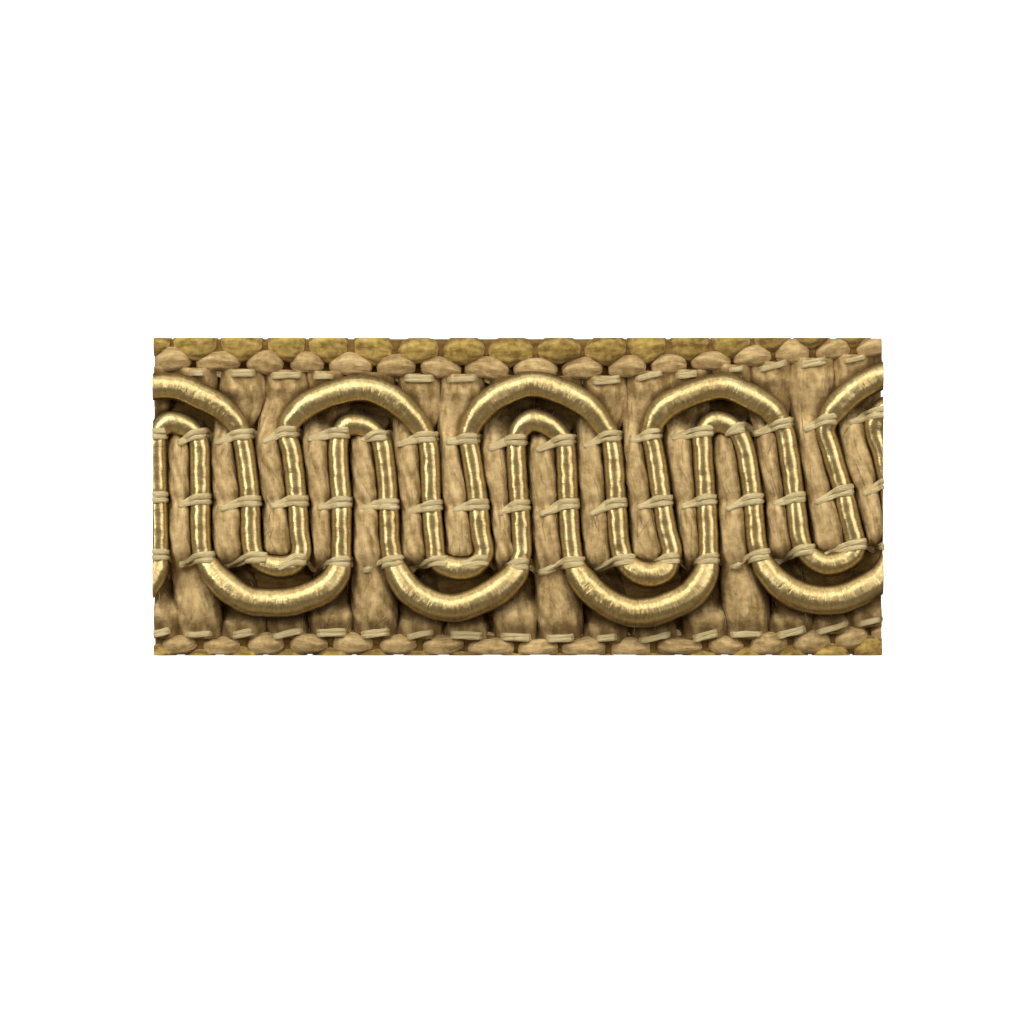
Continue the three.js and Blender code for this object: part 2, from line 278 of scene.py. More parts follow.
class Yarns:
    """Collects strands into one mesh, with what its finish reads at each point: lay holds the
    direction round the strand and the distance along it, and tone its random tone together with
    painted shade, or on a gimp cord how far it turns."""

    def __init__(self):
        self.places, self.quads, self.caps, self.lay, self.tone = [], [], [], [], []
        self.count = 0

    def tube(self, rings, along, tone):
        """Joins rings of points, each shaped (rings, sides, 3), into a closed strand."""
        n, sides, _ = rings.shape
        angle = 2 * math.pi * np.arange(sides) / sides
        lay = np.empty((n, sides, 3))
        lay[:, :, 0] = np.cos(angle)
        lay[:, :, 1] = np.sin(angle)
        lay[:, :, 2] = along[:, None]
        first = self.count + sides * np.arange(n - 1)[:, None]
        corner = np.arange(sides)[None, :]
        following = (corner + 1) % sides
        ends = (first + corner, first + following, first + sides + following, first + sides + corner)
        self.quads.append(np.stack(ends, axis=-1).reshape(-1, 4))
        last = self.count + sides * (n - 1)
        self.caps += [np.arange(self.count, self.count + sides)[::-1], np.arange(last, last + sides)]
        self.places.append(rings.reshape(-1, 3))
        self.lay.append(lay.reshape(-1, 3))
        tone = np.asarray(tone, float)
        tone = tone if tone.ndim == 2 else tone.reshape(-1, 1)
        self.tone.append(np.broadcast_to(tone, (n, sides)).ravel())
        self.count += n * sides

    def sweep(self, line, width, height, sides, tone):
        """Carries an oval section along a line. Width and height are half sizes, one number,
        or one for each point round each ring."""
        _, side, up = frames(line)
        angle = 2 * math.pi * np.arange(sides) / sides
        rings = (
            line[:, None, :]
            + side[:, None, :] * (np.cos(angle) * width)[..., None]
            + up[:, None, :] * (np.sin(angle) * height)[..., None]
        )
        self.tube(rings, run_of(line), tone)

    def mesh(self, name):
        """All the strands as one mesh, each closed at its ends."""
        quads = np.vstack(self.quads)
        sizes = np.concatenate([np.full(len(quads), 4), [len(cap) for cap in self.caps]])
        sizes = sizes.astype(np.int32)
        corners = np.concatenate([quads.ravel(), *self.caps]).astype(np.int32)
        starts = np.concatenate([[0], np.cumsum(sizes)[:-1]]).astype(np.int32)
        places = (np.vstack(self.places) * MM).astype(np.float32)
        mesh = bpy.data.meshes.new(name)
        mesh.vertices.add(self.count)
        mesh.vertices.foreach_set("co", places.ravel())
        mesh.loops.add(len(corners))
        mesh.loops.foreach_set("vertex_index", corners)
        mesh.polygons.add(len(sizes))
        mesh.polygons.foreach_set("loop_start", starts)
        mesh.polygons.foreach_set("loop_total", sizes)
        mesh.polygons.foreach_set("use_smooth", np.ones(len(sizes), bool))
        mesh.update(calc_edges=True)
        mesh.validate()
        lay = mesh.attributes.new("lay", "FLOAT_VECTOR", "POINT")
        lay.data.foreach_set("vector", np.vstack(self.lay).astype(np.float32).ravel())
        tone = mesh.attributes.new("tone", "FLOAT", "POINT")
        tone.data.foreach_set("value", np.concatenate(self.tone).astype(np.float32))
        return mesh


def cut_ends(mesh, inset=0.0, rims=False):
    """Cuts a mesh straight across at both ends of the braid, also along its rims where asked,
    and closes the cuts. Strands that overlap are cut at different insets."""
    edit = bmesh.new()
    edit.from_mesh(mesh)
    planes = [((end * (CUT - inset) * MM, 0, 0), (end, 0, 0)) for end in (-1, 1)]
    if rims:
        planes += [((0, end * (RIM - inset) * MM, 0), (0, end, 0)) for end in (-1, 1)]
    for place_on, outward in planes:
        everything = [*edit.verts, *edit.edges, *edit.faces]
        cut = bmesh.ops.bisect_plane(
            edit, geom=everything, dist=1e-8, plane_co=place_on, plane_no=outward, clear_outer=True,
        )
        rim = [e for e in cut["geom_cut"] if isinstance(e, bmesh.types.BMEdge) and e.is_boundary]
        if rim:
            for face in bmesh.ops.holes_fill(edit, edges=rim, sides=0)["faces"]:
                face.smooth = False
    edit.to_mesh(mesh)
    edit.free()
    return mesh


def place(name, mesh, finish, node):
    """Puts a piece in the scene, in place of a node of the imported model."""
    piece = bpy.data.objects.new(name, mesh)
    bpy.context.scene.collection.objects.link(piece)
    mesh.materials.append(finish)
    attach(piece, "root")
    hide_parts(node)
    return piece


class Value:
    """A socket in a shader that adds its Math nodes when it stands in an expression."""

    def __init__(self, shader, socket):
        self.shader = shader
        self.socket = socket

    def _math(self, operation, *inputs):
        return self.shader.node("ShaderNodeMath", {"operation": operation}, *inputs)

    def __add__(self, other):
        return self._math("ADD", self, other)

    def __radd__(self, other):
        return self._math("ADD", other, self)

    def __sub__(self, other):
        return self._math("SUBTRACT", self, other)

    def __rsub__(self, other):
        return self._math("SUBTRACT", other, self)

    def __mul__(self, other):
        return self._math("MULTIPLY", self, other)

    def __rmul__(self, other):
        return self._math("MULTIPLY", other, self)


class Shader:
    """A material built from expressions."""

    def __init__(self, name):
        self.material = bpy.data.materials.new(name)
        self.material.use_nodes = True
        self.tree = self.material.node_tree
        self.tree.nodes.clear()

    def make(self, kind, settings, *inputs, **named):
        """Adds a node, makes its settings, then fills its sockets in order or by name."""
        node = self.tree.nodes.new(kind)
        for key, value in settings.items():
            setattr(node, key, value)
        for key, value in [*enumerate(inputs), *named.items()]:
            socket = node.inputs[key if isinstance(key, int) else key.replace("_", " ")]
            if isinstance(value, Value):
                self.tree.links.new(value.socket, socket)
            else:
                socket.default_value = value
        return node

    def node(self, kind, settings, *inputs, output=0, **named):
        return Value(self, self.make(kind, settings, *inputs, **named).outputs[output])

    def mix(self, factor, low, high):
        """A colour between two colours."""
        node = self.make("ShaderNodeMix", {"data_type": "RGBA"})
        for index, value in ((0, factor), (6, low), (7, high)):
            if isinstance(value, Value):
                self.tree.links.new(value.socket, node.inputs[index])
            else:
                node.inputs[index].default_value = value if index == 0 else (*value, 1)
        return Value(self, node.outputs[2])

    def attribute(self, name, output):
        """What the mesh holds at each point under a name."""
        return self.node("ShaderNodeAttribute", {"attribute_name": name}, output=output)

    def scaled(self, vector, scale):
        """A vector with each of its parts multiplied by its own number."""
        return self.node("ShaderNodeVectorMath", {"operation": "MULTIPLY"}, vector, scale)

    def noise(self, vector, detail=2.0, roughness=0.5):
        """A cloudy value from 0 to 1, one cloud for each unit of the vector."""
        return self.node(
            "ShaderNodeTexNoise", {}, Vector=vector, Scale=1.0, Detail=detail, Roughness=roughness
        )

    def clouds(self, size, detail=2.0, roughness=0.5):
        """Noise whose clouds have a size in millimetres."""
        position = self.node("ShaderNodeTexCoord", {}, output="Object")
        return self.noise(self.scaled(position, (1 / (size * MM),) * 3), detail, roughness)

    def streaks(self, around, along, detail=3.0):
        """Noise drawn out along a strand: around is a share of its radius, along in millimetres."""
        lay = self.attribute("lay", "Vector")
        return self.noise(self.scaled(lay, (1 / around, 1 / around, 1 / along)), detail)

    def clamp(self, value):
        """A value held between 0 and 1."""
        return self.node("ShaderNodeClamp", {}, value, 0.0, 1.0)

    def bump(self, height, strength, distance):
        """Raises the surface by a height, whose unit is a distance in millimetres."""
        return self.node(
            "ShaderNodeBump", {}, Strength=strength, Distance=distance * MM, Height=height
        )

    def surface(self, color, roughness, normal, **constants):
        """Ends the material in one Principled surface."""
        principled = self.make(
            "ShaderNodeBsdfPrincipled", {}, Base_Color=color, Roughness=roughness, Normal=normal,
            **constants,
        )
        output = self.make("ShaderNodeOutputMaterial", {})
        self.tree.links.new(principled.outputs[0], output.inputs[0])
        return self.material


# painted shade: the deep brown that the cotton goes over to where its tone is below 0
PAINTED_SHADE_BROWN = (0.09, 0.05, 0.012)


def cotton_finish(name, dark, pale, tone_strength=0.5, mottle=0.8):
    """Soft matt cotton: streaks along the fibres, cloudy shade and a fine fuzzy relief.
    The tone brings in painted shade as well as random tone, and where it is below 0 the colour goes
    over to a deep brown of painted shade."""
    shader = Shader(name)
    tone = shader.attribute("tone", "Fac")
    streaks = shader.streaks(0.3, 1.1)
    fine = shader.streaks(0.07, 0.6)
    clouds = shader.clouds(0.8)
    fuzz = shader.clouds(0.1, 3.0, 0.65)
    patches = shader.clouds(0.3, 1.0)
    shade = 0.5 + (streaks - 0.5) * 1.5 + (clouds - 0.5) * 0.8 + (fine - 0.5) * 0.25
    shade = shade + (patches - 0.5) * mottle
    shade = shader.clamp(shade + (tone - 0.5) * tone_strength + (fuzz - 0.5) * 0.5)
    # painted shade: below a tone of 0 the cotton goes over to the deep brown
    color = shader.mix(shader.clamp((0 - tone) * 0.8), shader.mix(shade, dark, pale), PAINTED_SHADE_BROWN)
    normal = shader.bump(fine * 0.2 + streaks * 0.9 + fuzz * 0.5 + patches * 0.6, 0.8, 0.09)
    return shader.surface(
        color, 0.95, normal, Specular_IOR_Level=0.2, Sheen_Weight=0.2, Sheen_Roughness=0.6,
        Sheen_Tint=(1.0, 0.9, 0.68, 1),
    )


def satin_finish():
    """Satin thread wound close on a core: fine filaments round the cord, with a strong golden
    lustre and painted shade on its flanks, and a rougher relief where the cord turns."""
    shader = Shader("satin_gimp")
    filaments = shader.streaks(0.8, 0.03, 1.0)
    bands = shader.streaks(0.5, 0.12, 1.0)
    grain = shader.clouds(0.2, 1.5)
    clouds = shader.clouds(1.6, 1.0)
    shade = 0.5 + (bands - 0.5) * 0.9 + (clouds - 0.5) * 0.6 + (filaments - 0.5) * 0.5
    shade = shader.clamp(shade + (grain - 0.5) * 0.5)
    color = shader.mix(shade, (0.44, 0.30, 0.10), (0.85, 0.70, 0.36))
    # painted shade: the flanks of the cord go over to a dark brown
    sideways = shader.node("ShaderNodeSeparateXYZ", {}, shader.attribute("lay", "Vector"), output=0)
    flank = shader.clamp((sideways * sideways - 0.62) * 3.0)
    color = shader.mix(flank, color, (0.17, 0.10, 0.025))
    turning = shader.attribute("tone", "Fac")
    relief = (filaments * 0.55 + bands * 0.35 + grain * 0.4) * (0.6 + turning * 0.9)
    normal = shader.bump(relief, 0.7, 0.03)
    return shader.surface(color, 0.28, normal, Metallic=0.77, Specular_IOR_Level=0.5)


def thread_finish():
    """Pale spun thread with a slight lustre."""
    shader = Shader("binding_thread")
    streaks = shader.streaks(0.3, 1.2)
    fine = shader.streaks(0.1, 0.4)
    clouds = shader.clouds(0.7, 1.0)
    shade = shader.clamp(0.5 + (streaks - 0.5) * 1.7 + (clouds - 0.5) * 0.6 + (fine - 0.5) * 1.0)
    color = shader.mix(shade, (0.66, 0.48, 0.20), (1.0, 0.89, 0.54))
    normal = shader.bump(streaks * 0.7 + fine * 0.6, 0.9, 0.09)
    return shader.surface(color, 0.6, normal, Specular_IOR_Level=0.4)


COTTON = cotton_finish("cotton_weft", (0.32, 0.205, 0.072), (0.86, 0.635, 0.315))
GOLD_COTTON = cotton_finish("golden_cotton", (0.22, 0.135, 0.025), (0.70, 0.50, 0.15), 0.8, 1.2)
# the warp's dark brown is partly its own colour and partly painted shade
WARP_COTTON_AND_SHADE = cotton_finish("warp_cotton_and_shade", (0.11, 0.06, 0.012), (0.30, 0.18, 0.05))
FIBRE = cotton_finish("cotton_fibre", (0.36, 0.24, 0.09), (0.74, 0.56, 0.29), 0.9)
SATIN = satin_finish()
THREAD = thread_finish()


def gimp_cord(name, route, seed):
    """A cord with its windings raised, drawn in a little under each tie."""
    line = cord_line(route, WINDING_PITCH / 4)
    line = line[np.abs(line[:, 0]) < CUT + CORD_RADIUS + 0.6]
    along = run_of(line)
    turn = np.arange(CORD_SIDES) / CORD_SIDES
    phase = (along / WINDING_PITCH + 0.35 * drift(along, 0.9, seed))[:, None] + WINDING_STARTS * turn
    ridge = np.sin(math.pi * (phase % 1.0)) ** 2
    heights = np.random.default_rng(seed).uniform(0.4, 1.4, WINDING_KINDS)
    proud = heights[np.floor(phase).astype(int) % WINDING_KINDS]
    knots = [drift(along, 0.33, seed + 20 + k) for k in range(LUMPS_ROUND)]
    knots = np.stack([*knots, knots[0]], axis=1)
    place_round = LUMPS_ROUND * turn
    low = place_round.astype(int)
    lumps = knots[:, low] + (knots[:, low + 1] - knots[:, low]) * ease(place_round - low, 0, 1)
    squeeze = np.zeros(len(line))
    for name_of_row in BINDING_ROWS:
        gap = line[:, 1] - row(name_of_row, line[:, 0])
        squeeze = np.maximum(squeeze, np.exp(-((gap / 0.32) ** 2)))
    uneven = 0.025 * drift(along, 1.7, seed + 1)
    size = (cord_radius(line[:, 1]) * (1 - TIE_SQUEEZE * squeeze + uneven))[:, None]
    relief = WINDING_DEPTH * (ridge * proud - 0.6) + LUMP_DEPTH * lumps
    turning = np.maximum(ease(-line[:, 1], 2.4, 4.2), ease(line[:, 1], 2.9, 4.6))
    yarns = Yarns()
    yarns.sweep(line, size + relief, 0.95 * size + relief, CORD_SIDES, turning)
    return cut_ends(yarns.mesh(name))


# painted shade in the creases between the strands of a bundle
CREASE_PAINTED_SHADE = 0.45


def bundle(yarns, line, half, low, top, strands, depth, seed, sides, turn, tone, flank, fit=None):
    """A soft bundle of strands that follow a line: half its width, and its lowest and highest
    place, are given along the line. Its flanks and the creases between its strands are darkened
    with painted shade, and so is the weft beside the cords where it is fitted round them.
    Returns its rings of surface points."""
    n = len(line)
    along = run_of(line)
    _, side, _ = frames(np.column_stack([line, np.zeros(n)]))
    angle = 2 * math.pi * np.arange(sides) / sides
    across, rise = (np.sign(v) * np.abs(v) ** 0.9 for v in (np.cos(angle), np.sin(angle)))
    middle = low + 0.45 * (top - low)
    width = half[:, None] * across
    height = np.where(rise > 0, (top - middle)[:, None] * rise, (middle - low)[:, None] * rise)
    phase = strands * (angle / (2 * math.pi))[None, :] + strands * (turn * along)[:, None]
    phase = phase + 0.4 * drift(along, 2.5, seed)[:, None] + strands
    which = np.floor(phase).astype(int) % strands
    lumps = np.stack([drift(along, 0.9, seed + 7 * k) for k in range(strands)], axis=1)
    lump = np.take_along_axis(lumps, which, axis=1)
    swell = np.sin(math.pi * phase) ** 2
    ridge = swell - 0.5 + 0.7 * lump
    width = width + depth * ridge * np.cos(angle)
    height = height + depth * ridge * np.sin(angle)
    rings = np.empty((n, sides, 3))
    rings[:, :, :2] = line[:, None, :] + side[:, None, :2] * width[..., None]
    rings[:, :, 2] = np.maximum(middle[:, None] + height, 0.01)
    if fit is not None:
        rings = fit(rings)
    # painted shade: darker low on the flanks, in the creases, and beside the cords
    level = (rings[:, :, 2] - low[:, None]) / (top - low)[:, None]
    shade = flank * (1 - ease(level, 0.45, 0.97)) + CREASE_PAINTED_SHADE * (1 - swell) ** 2
    if fit is not None:
        shade = shade + painted_shade_beside_cords(rings)
    yarns.tube(rings, along, np.reshape(tone, (-1, 1)) - shade)
    return rings


def stray_fibres(yarns, rings):
    """Fine fibres that stand off the upper side of a bundle and fall back on it."""
    n, sides, _ = rings.shape
    for _ in range(FIBRE_COUNT):
        length = int(RANDOM.integers(*FIBRE_LENGTH))
        first = int(RANDOM.integers(1, max(2, n - length - 2)))
        at = np.arange(first, min(first + length, n - 1))
        if len(at) < 4:
            continue
        start = sides * RANDOM.uniform(0.04, 0.46)
        slant = np.linspace(0, RANDOM.normal(0, 2.5), len(at))
        slant = slant + 0.3 * drift(at, 2, int(RANDOM.integers(9999)))
        places = np.clip(start + slant, 0, sides - 2)
        low = np.floor(places).astype(int)
        share = (places - low)[:, None]
        surface = rings[at, low] * (1 - share) + rings[at, low + 1] * share
        centre = rings[at].mean(axis=1)
        outward = surface - centre
        outward /= np.linalg.norm(outward, axis=1)[:, None]
        bow_up = np.sin(math.pi * np.linspace(0.04, 0.96, len(at)))[:, None]
        line = surface + outward * (bow_up * FIBRE_LIFT * RANDOM.uniform(0.15, 1.0) + 0.004)
        yarns.sweep(line, RANDOM.uniform(0.01, 0.02), 0.012, 3, RANDOM.uniform(0.5, 1.0))


FIBRE_COUNT = 32  # on each bundle
FIBRE_LENGTH = (5, 13)  # in rings of the bundle
FIBRE_LIFT = 0.02
STROKE_LEVELS = (-2.3, -0.2, 2.6)
STROKES = [crossings(lambda x, level=level: level + 0 * x) for level in STROKE_LEVELS]
PAD_HEIGHT = 2.26
PAD_SHIFT = 0.12  # the pads between the strokes lean to the right
CORD_ROOM = 0.42  # what each side of a pad leaves free for a cord
BOTTOM_HALVES = (1.12, 1.2)  # half widths at the edge threads and a little inwards
TOP_HALVES = (1.18, 1.12)
OVERHANG = 0.25  # how far a bundle runs on past the edge threads
TIED_HEIGHT = 2.0
FAN_HEIGHT = 1.85
EDGE_HEIGHT = 1.35
SUNK = (0.55, 1.05)  # how far a bundle sinks beside the upper and the lower turns of the cords
PIT = 1.0  # and how much further between two nested turns


def bundle_top(x, y):
    """How high the weft stands at a place on the braid."""
    upper, lower = row("upper", x), row("lower", x)
    beyond = np.maximum(y - upper, lower - y)
    inner = ease(beyond, -0.4, 0.7)
    distances = [distance_to(tree, x, y) for tree in EACH_CORD_TREE]
    near, far = np.minimum(*distances), np.maximum(*distances)
    sunk = np.where(y > 0, *SUNK)
    fan = FAN_HEIGHT - sunk * (1 - ease(near, 0.75, 1.5)) - PIT * (1 - ease(far, 0.9, 1.5))
    top = PAD_HEIGHT * (1 - inner) + fan * inner
    edge = np.minimum(row("top_edge", x) - y, y - row("bottom_edge", x))
    outer = 1 - ease(edge, 0.0, 0.9)
    top = top * (1 - outer) + EDGE_HEIGHT * outer
    for name in BINDING_ROWS:
        tied = np.exp(-(((y - row(name, x)) / 0.3) ** 2))
        top = top - tied * np.maximum(top - TIED_HEIGHT, 0)
    return np.maximum(top, 0.35)


def weft():
    """The bundles from edge to edge, each between two strokes of the cords, with their fibres."""
    bundles, fibres = Yarns(), Yarns()
    for index, (top_x, bottom_x) in enumerate(zip(WEFT_ENDS["top"], WEFT_ENDS["bottom"])):
        middles = []
        halves = []
        for level, strokes in zip(STROKE_LEVELS, STROKES):
            padded = np.concatenate([[strokes[0] - STROKE_GAP], strokes, [strokes[-1] + STROKE_GAP]])
            left, right = padded[index], padded[index + 1]
            middles.append(((left + right) / 2 + PAD_SHIFT, level))
            halves.append((right - left) / 2 - CORD_ROOM)
        top_y = row("top_edge", top_x) + OVERHANG
        bottom_y = row("bottom_edge", bottom_x) - OVERHANG
        knots = [(bottom_x, bottom_y), (bottom_x - 0.05, bottom_y + 1.6), *middles,
                 (top_x - 0.05, top_y - 1.6), (top_x, top_y)]
        line = even(smooth(knots), 0.13)
        y = line[:, 1]
        half = np.interp(y, [bottom_y, bottom_y + 1.8, *STROKE_LEVELS, top_y - 1.8, top_y],
                         [*BOTTOM_HALVES, *halves, *TOP_HALVES])
        pinched = sum(np.exp(-(((y - row(name, line[:, 0])) / 0.28) ** 2)) for name in BINDING_ROWS)
        half = half * (1 - 0.12 * pinched) * (1 + 0.04 * drift(y, 1.1, 17 * index))
        top = bundle_top(line[:, 0], y) + 0.05 * drift(y, 1.6, 31 * index)
        # painted shade in the tone: darker where a bundle sinks low, towards the turns of the cords and
        # near both edges, on top of a random tone for each bundle
        tone = RANDOM.uniform(0.6, 0.9) - 1.0 * (1 - ease(top, 0.6, 1.3))
        tone = tone - 0.4 * ease(-y, 3.3, 4.5) - 0.25 * ease(y, 3.3, 4.5)
        tone = tone - 0.6 * (1 - ease(y - row("bottom_edge", line[:, 0]), 0.1, 1.0))
        tone = tone - 0.3 * (1 - ease(row("top_edge", line[:, 0]) - y, 0.1, 1.0))
        rings = bundle(
            bundles, line, half, np.full(len(line), 0.04), soften(top, 1), strands=8, depth=0.055,
            seed=100 * index, sides=44, turn=RANDOM.uniform(0.03, 0.08), tone=tone, flank=0.75,
            fit=clear_of_cords,
        )
        stray_fibres(fibres, rings)
    return cut_ends(bundles.mesh("weft_bundles"), 0.02), cut_ends(fibres.mesh("weft_fibres"), 0.02)


LOOP_RINGS = 20


def loop_row(name, side, between, offset, half, top, strands):
    """A row of weft loops along an edge. Those between the bundles arch from tie to tie,
    and the outer ones lie over the bundles."""
    yarns = Yarns()
    sign = 1 if side == "top" else -1
    places = np.array(WEFT_ENDS[side])
    if between:
        spans = list(zip(places, places[1:]))
    else:
        middles = (places[:-1] + places[1:]) / 2
        spans = list(zip([places[0] - 1.1, *middles], [*middles, places[-1] + 1.1]))
    for index, (left, right) in enumerate(spans):
        share = np.linspace(0, 1, LOOP_RINGS)
        margin = RANDOM.uniform(0.04, 0.18) if between else RANDOM.uniform(0.02, 0.12)
        x = left + margin + (right - left - 2 * margin) * share
        arch = np.sin(math.pi * share ** RANDOM.uniform(0.8, 1.25))
        tilt = RANDOM.uniform(-0.35, 0.35) * (share - 0.5)
        y = row(side + "_edge", x) + sign * (offset + 0.1 * arch + RANDOM.uniform(-0.08, 0.08) + tilt)
        size = half * (0.3 + 0.7 * arch**0.5) * RANDOM.uniform(0.86, 1.08)
        size = size * (1 + 0.1 * drift(x, 0.5, 400 + index))
        high = (top + RANDOM.uniform(-0.15, 0.15)) * (0.5 + 0.5 * arch**0.5)
        # each loop gets painted shade on its flanks and in its creases
        bundle(
            yarns, np.column_stack([x, y]), size, 0.25 * np.ones(LOOP_RINGS), high, strands,
            depth=0.045, seed=900 + 13 * index, sides=24, turn=0.02, tone=RANDOM.uniform(0.3, 0.75),
            flank=0.5,
        )
    return cut_ends(yarns.mesh(name), 0.04 if between else 0.0, rims=True)


def thread(yarns, line, seed, tone, scale):
    """One spun thread with a slow twist in it."""
    along = run_of(line)
    turn = np.arange(THREAD_SIDES) / THREAD_SIDES
    ridge = np.abs(np.sin(math.pi * (THREAD_PLIES * turn + along[:, None] / 1.6)))
    size = 1 + 0.16 * drift(along, 0.4, seed)[:, None] + 0.3 * (ridge - 0.6)
    size = size * np.reshape(scale, (-1, 1))
    yarns.sweep(line, THREAD_WIDTH * size, THREAD_HEIGHT * size, THREAD_SIDES, tone)


def thread_rest(x, y):
    """Height of a thread's middle where it lies on the weft and over the cords."""
    distance, cord = nearest_cord(x, y)
    on_weft = bundle_top(x, y) + THREAD_HEIGHT - 0.03
    round_cord = CORD_RADIUS * 0.9 + THREAD_HEIGHT
    over_cord = cord[:, 2] + np.sqrt(np.maximum(round_cord**2 - distance**2, 0))
    return np.where(distance < round_cord, np.maximum(on_weft, over_cord), on_weft)


def binding_row(name, row_name):
    """Two threads side by side along a row: over each pad and cord, then down beside the cord."""
    yarns = Yarns()
    ties = crossings(lambda x: row(row_name, x))
    ties = np.concatenate([[ties[0] - STROKE_GAP], ties, [ties[-1] + 2.2]])
    ends = ties[1:] + CORD_RADIUS + 0.02
    starts = ties[:-1] + CORD_RADIUS + 0.42 + RANDOM.uniform(-0.06, 0.06, len(ties) - 1)
    x = np.arange(-CUT, CUT + 0.01, THREAD_STEP)
    stitch = np.clip(np.searchsorted(starts, x) - 1, 0, len(starts) - 1)
    share = (x - starts[stitch]) / (ends[stitch] - starts[stitch])
    following = starts[np.minimum(stitch + 1, len(starts) - 1)]
    back = np.clip((x - ends[stitch]) / np.maximum(following - ends[stitch], 0.1), 0, 1)
    rise = np.where(share <= 1, ease(share, 0.0, 0.7), 1 - back)
    up = ease(x - starts[stitch], 0.0, 0.12) * (1 - ease(x - ends[stitch], -0.16, 0.06))
    slope = RANDOM.uniform(0.25, 0.5, len(starts))[stitch]
    shift = RANDOM.uniform(-0.06, 0.06, len(starts))[stitch]
    for pair in (-1, 1):
        spread = 0.14 * (0.3 + 0.7 * ease(share, 0.1, 0.6))
        y = row(row_name, x) + slope * (rise - 0.8) + shift + pair * spread
        y = soften(y + 0.02 * drift(x, 0.6, 90 + pair), 2)
        z = thread_rest(x, y) + 0.03 * drift(x, 0.5, 70 + pair)
        z = soften(z * up + 1.0 * (1 - up), 1)
        line = even(np.column_stack([x, y, z]), 0.06)
        scale = np.interp(line[:, 0], x, 0.8 + 0.2 * ease(share, 0.1, 0.7))
        thread(yarns, line, 5 + pair, RANDOM.uniform(0.3, 0.7), scale)
    return yarns.mesh(name)


def edge_thread(name, side):
    """The thread that ties the loops: a stitch over each weft bundle, down between them."""
    yarns = Yarns()
    places = np.array(WEFT_ENDS[side])
    x = np.arange(-CUT, CUT + 0.01, THREAD_STEP)
    which = np.abs(x[:, None] - places[None, :]).argmin(axis=1)
    reach = RANDOM.uniform(0.35, 0.62, len(places))[which]
    lean = RANDOM.uniform(0.0, 0.25, len(places))[which] * (x - places[which])
    up = 1 - ease(np.abs(x - places[which]) - reach, 0.0, 0.3)
    distance, cord = nearest_cord(x, row(side + "_edge", x))
    clear = CORD_RADIUS + 0.2
    up = up * ease(distance, clear, clear + 0.25)
    for pair in (-1, 1):
        jitter = RANDOM.uniform(-0.05, 0.05, len(places))[which]
        y = row(side + "_edge", x) + pair * 0.06 + lean + jitter
        z = (EDGE_HEIGHT + 0.22) * up + 0.8 * (1 - up)
        ceiling = cord[:, 2] - np.sqrt(np.maximum(clear**2 - distance**2, 0))
        z = np.where(distance < clear, np.minimum(z, ceiling), z)
        line = even(np.column_stack([x, soften(y, 2), soften(z, 2)]), 0.06)
        thread(yarns, line, 11 + pair, RANDOM.uniform(0.4, 0.8), 0.75)
    return yarns.mesh(name)


def warp_ground():
    """The thin layer of warp between the weft bundles, closed, with a rib for each warp thread."""
    columns, rows = 160, 130
    inset, rib_gap = 0.06, 0.45
    x = np.linspace(inset - CUT, CUT - inset, columns)
    y = np.linspace(inset - RIM, RIM - inset, rows)
    grid_x, grid_y = np.meshgrid(x, y, indexing="ij")
    rib = 0.03 * np.cos(2 * math.pi * grid_y / rib_gap) + 0.4 * ease(np.abs(grid_y), 6.4, 7.2)
    heights = (0.55 + rib, 0.15 + 0.1 * rib)
    edit = bmesh.new()
    sheets = [
        [
            [
                edit.verts.new((grid_x[i, j] * MM, grid_y[i, j] * MM, height[i, j] * MM))
                for j in range(rows)
            ]
            for i in range(columns)
        ]
        for height in heights
    ]
    for sheet, flip in zip(sheets, (False, True)):
        for i in range(columns - 1):
            for j in range(rows - 1):
                face = [sheet[i][j], sheet[i + 1][j], sheet[i + 1][j + 1], sheet[i][j + 1]]
                edit.faces.new(face[::-1] if flip else face)
    rim = [(i, 0) for i in range(columns)]
    rim += [(columns - 1, j) for j in range(1, rows)]
    rim += [(i, rows - 1) for i in range(columns - 2, -1, -1)]
    rim += [(0, j) for j in range(rows - 2, 0, -1)]
    for (i, j), (k, m) in zip(rim, rim[1:] + rim[:1]):
        edit.faces.new([sheets[0][i][j], sheets[1][i][j], sheets[1][k][m], sheets[0][k][m]])
    mesh = bpy.data.meshes.new("warp_ground")
    edit.to_mesh(mesh)
    edit.free()
    lay = mesh.attributes.new("lay", "FLOAT_VECTOR", "POINT")
    across = np.array([(v.co.y / MM, v.co.z / MM, v.co.x / MM) for v in mesh.vertices])
    lay.data.foreach_set("vector", across.astype(np.float32).ravel())
    tone = mesh.attributes.new("tone", "FLOAT", "POINT")
    tone.data.foreach_set("value", np.full(len(mesh.vertices), 0.5, np.float32))
    mesh.polygons.foreach_set("use_smooth", np.ones(len(mesh.polygons), bool))
    return mesh


weft_mesh, weft_fibres = weft()
weft_piece = place("weft_bundles", weft_mesh, COTTON, "ground")
fibre_piece = place("weft_fibres", weft_fibres, FIBRE, "ground")
ground_piece = place("warp_ground", warp_ground(), WARP_COTTON_AND_SHADE, "ground")
cord_pieces = [
    place("satin_cord_a", gimp_cord("satin_cord_a", CORD_A, 3), SATIN, "gimp_cord_a"),
    place("satin_cord_b", gimp_cord("satin_cord_b", CORD_B, 4), SATIN, "gimp_cord_b"),
]
LOOPS = [
    ("loops_top", "top", True, 0.5, 0.6, 1.6, 6, COTTON),
    ("outer_loops_top", "top", False, 1.42, 0.82, 1.55, 7, GOLD_COTTON),
    ("loops_bottom", "bottom", True, 0.5, 0.6, 1.6, 6, COTTON),
    ("outer_loops_bottom", "bottom", False, 1.42, 0.82, 1.55, 7, GOLD_COTTON),
]
loop_pieces = [
    place(name, loop_row(name, side, between, offset, half, top, strands), finish,
          "ground")
    for name, side, between, offset, half, top, strands, finish in LOOPS
]
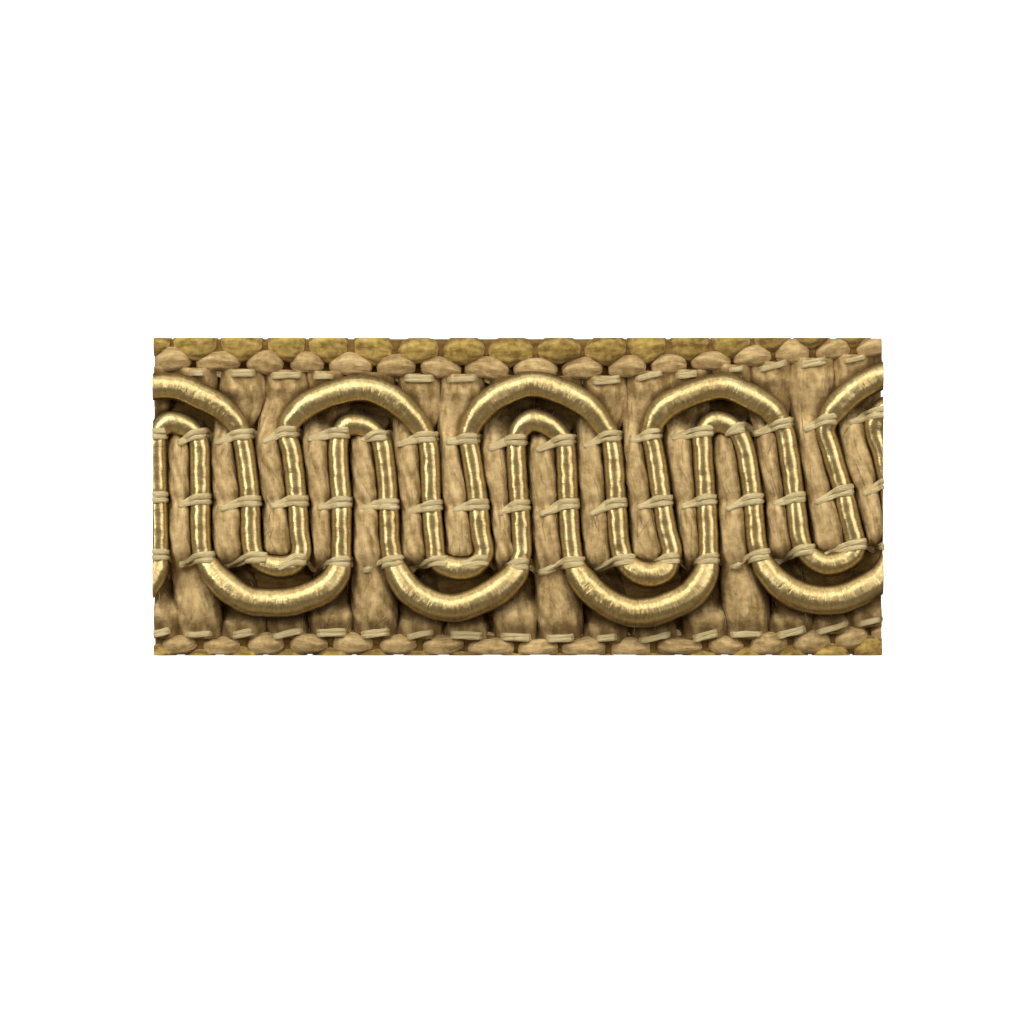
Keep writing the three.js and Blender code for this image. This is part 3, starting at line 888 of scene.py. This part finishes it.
binding_pieces = [
    place(f"threads_{name}", binding_row(f"threads_{name}", name), THREAD,
          f"binding_{name}")
    for name in BINDING_ROWS
]
edge_pieces = [
    place(f"threads_{side}_edge", edge_thread(f"threads_{side}_edge", side), THREAD,
          "ground")
    for side in ("top", "bottom")
]

# Studio: softboxes overhead with a dark slit between them, low lights far and near, a white floor


def softbox(name, x_range, y_range, height, radiance, color):
    """A lamp parallel to the floor that covers the given ranges in millimetres and shines down."""
    data = bpy.data.lights.new(name, "AREA")
    data.shape = "RECTANGLE"
    data.size, data.size_y = ((high - low) * MM for low, high in (x_range, y_range))
    data.energy = radiance * math.pi * data.size * data.size_y
    data.color = color
    lamp = bpy.data.objects.new(name, data)
    lamp.location = (sum(x_range) / 2 * MM, sum(y_range) / 2 * MM, height * MM)
    bpy.context.scene.collection.objects.link(lamp)
    return lamp


DAYLIGHT = (1.0, 0.97, 0.9)
CANDLELIGHT = (1.0, 0.78, 0.45)
OVERHEAD = 150
softbox("right_box", (76, 240), (-20, 220), OVERHEAD, 2.65, DAYLIGHT)
softbox("left_box", (-180, -100), (-20, 220), OVERHEAD, 5.9, DAYLIGHT)
softbox("far_left_box", (-100, -28), (55, 260), OVERHEAD, 3.3, DAYLIGHT)
softbox("far_right_box", (28, 76), (55, 260), OVERHEAD, 3.3, DAYLIGHT)
low_box = softbox("low_box", (-250, 250), (-60, 60), 0, 1.3, DAYLIGHT)
low_box.location = Vector((0, 330, 75)) * MM
low_box.rotation_euler = (math.radians(-80), 0, 0)
near_glow = softbox("near_glow", (-150, 150), (-60, 60), 0, 0.22, CANDLELIGHT)
near_glow.location = Vector((0, -190, 80)) * MM
near_glow.rotation_euler = (math.radians(67), 0, 0)

world = bpy.data.worlds.new("studio")
bpy.context.scene.world = world
world.use_nodes = True
world.node_tree.nodes["Background"].inputs["Color"].default_value = (1.0, 0.62, 0.26, 1)
world.node_tree.nodes["Background"].inputs["Strength"].default_value = 0.06

FLOOR = 2.0  # half its width in metres
floor_mesh = bpy.data.meshes.new("floor")
floor_mesh.from_pydata(
    [(-FLOOR, -FLOOR, 0), (FLOOR, -FLOOR, 0), (FLOOR, FLOOR, 0), (-FLOOR, FLOOR, 0)], [], [(0, 1, 2, 3)]
)
floor = bpy.data.objects.new("floor", floor_mesh)
bpy.context.scene.collection.objects.link(floor)
white = bpy.data.materials.new("white_floor")
white.use_nodes = True
floor_shader = white.node_tree.nodes["Principled BSDF"]
floor_shader.inputs["Base Color"].default_value = (0.9, 0.9, 0.9, 1)
floor_shader.inputs["Roughness"].default_value = 0.9
floor_shader.inputs["Emission Color"].default_value = (1, 1, 1, 1)
floor_shader.inputs["Emission Strength"].default_value = 1.0
floor_mesh.materials.append(white)
floor.visible_glossy = False  # the braid is seen cut out on white, which it doesn't mirror
floor.visible_diffuse = False

# Camera: straight above, where 20 pixels of the picture cover a millimetre of the cords
PICTURE_MIDDLE = (-0.3, -0.775)
PICTURE_WIDTH = 1024
PIXELS_PER_MM = 20
CORD_LEVEL = 2.0
camera_data = bpy.data.cameras.new("camera")
camera_data.lens = 250
camera_data.sensor_width = 36
camera_data.clip_start = 0.01
camera = bpy.data.objects.new("camera", camera_data)
camera_distance = PICTURE_WIDTH / PIXELS_PER_MM * camera_data.lens / camera_data.sensor_width
camera.location = Vector((*PICTURE_MIDDLE, camera_distance + CORD_LEVEL)) * MM
bpy.context.scene.collection.objects.link(camera)
bpy.context.scene.camera = camera
bpy.context.scene.view_settings.view_transform = "Standard"
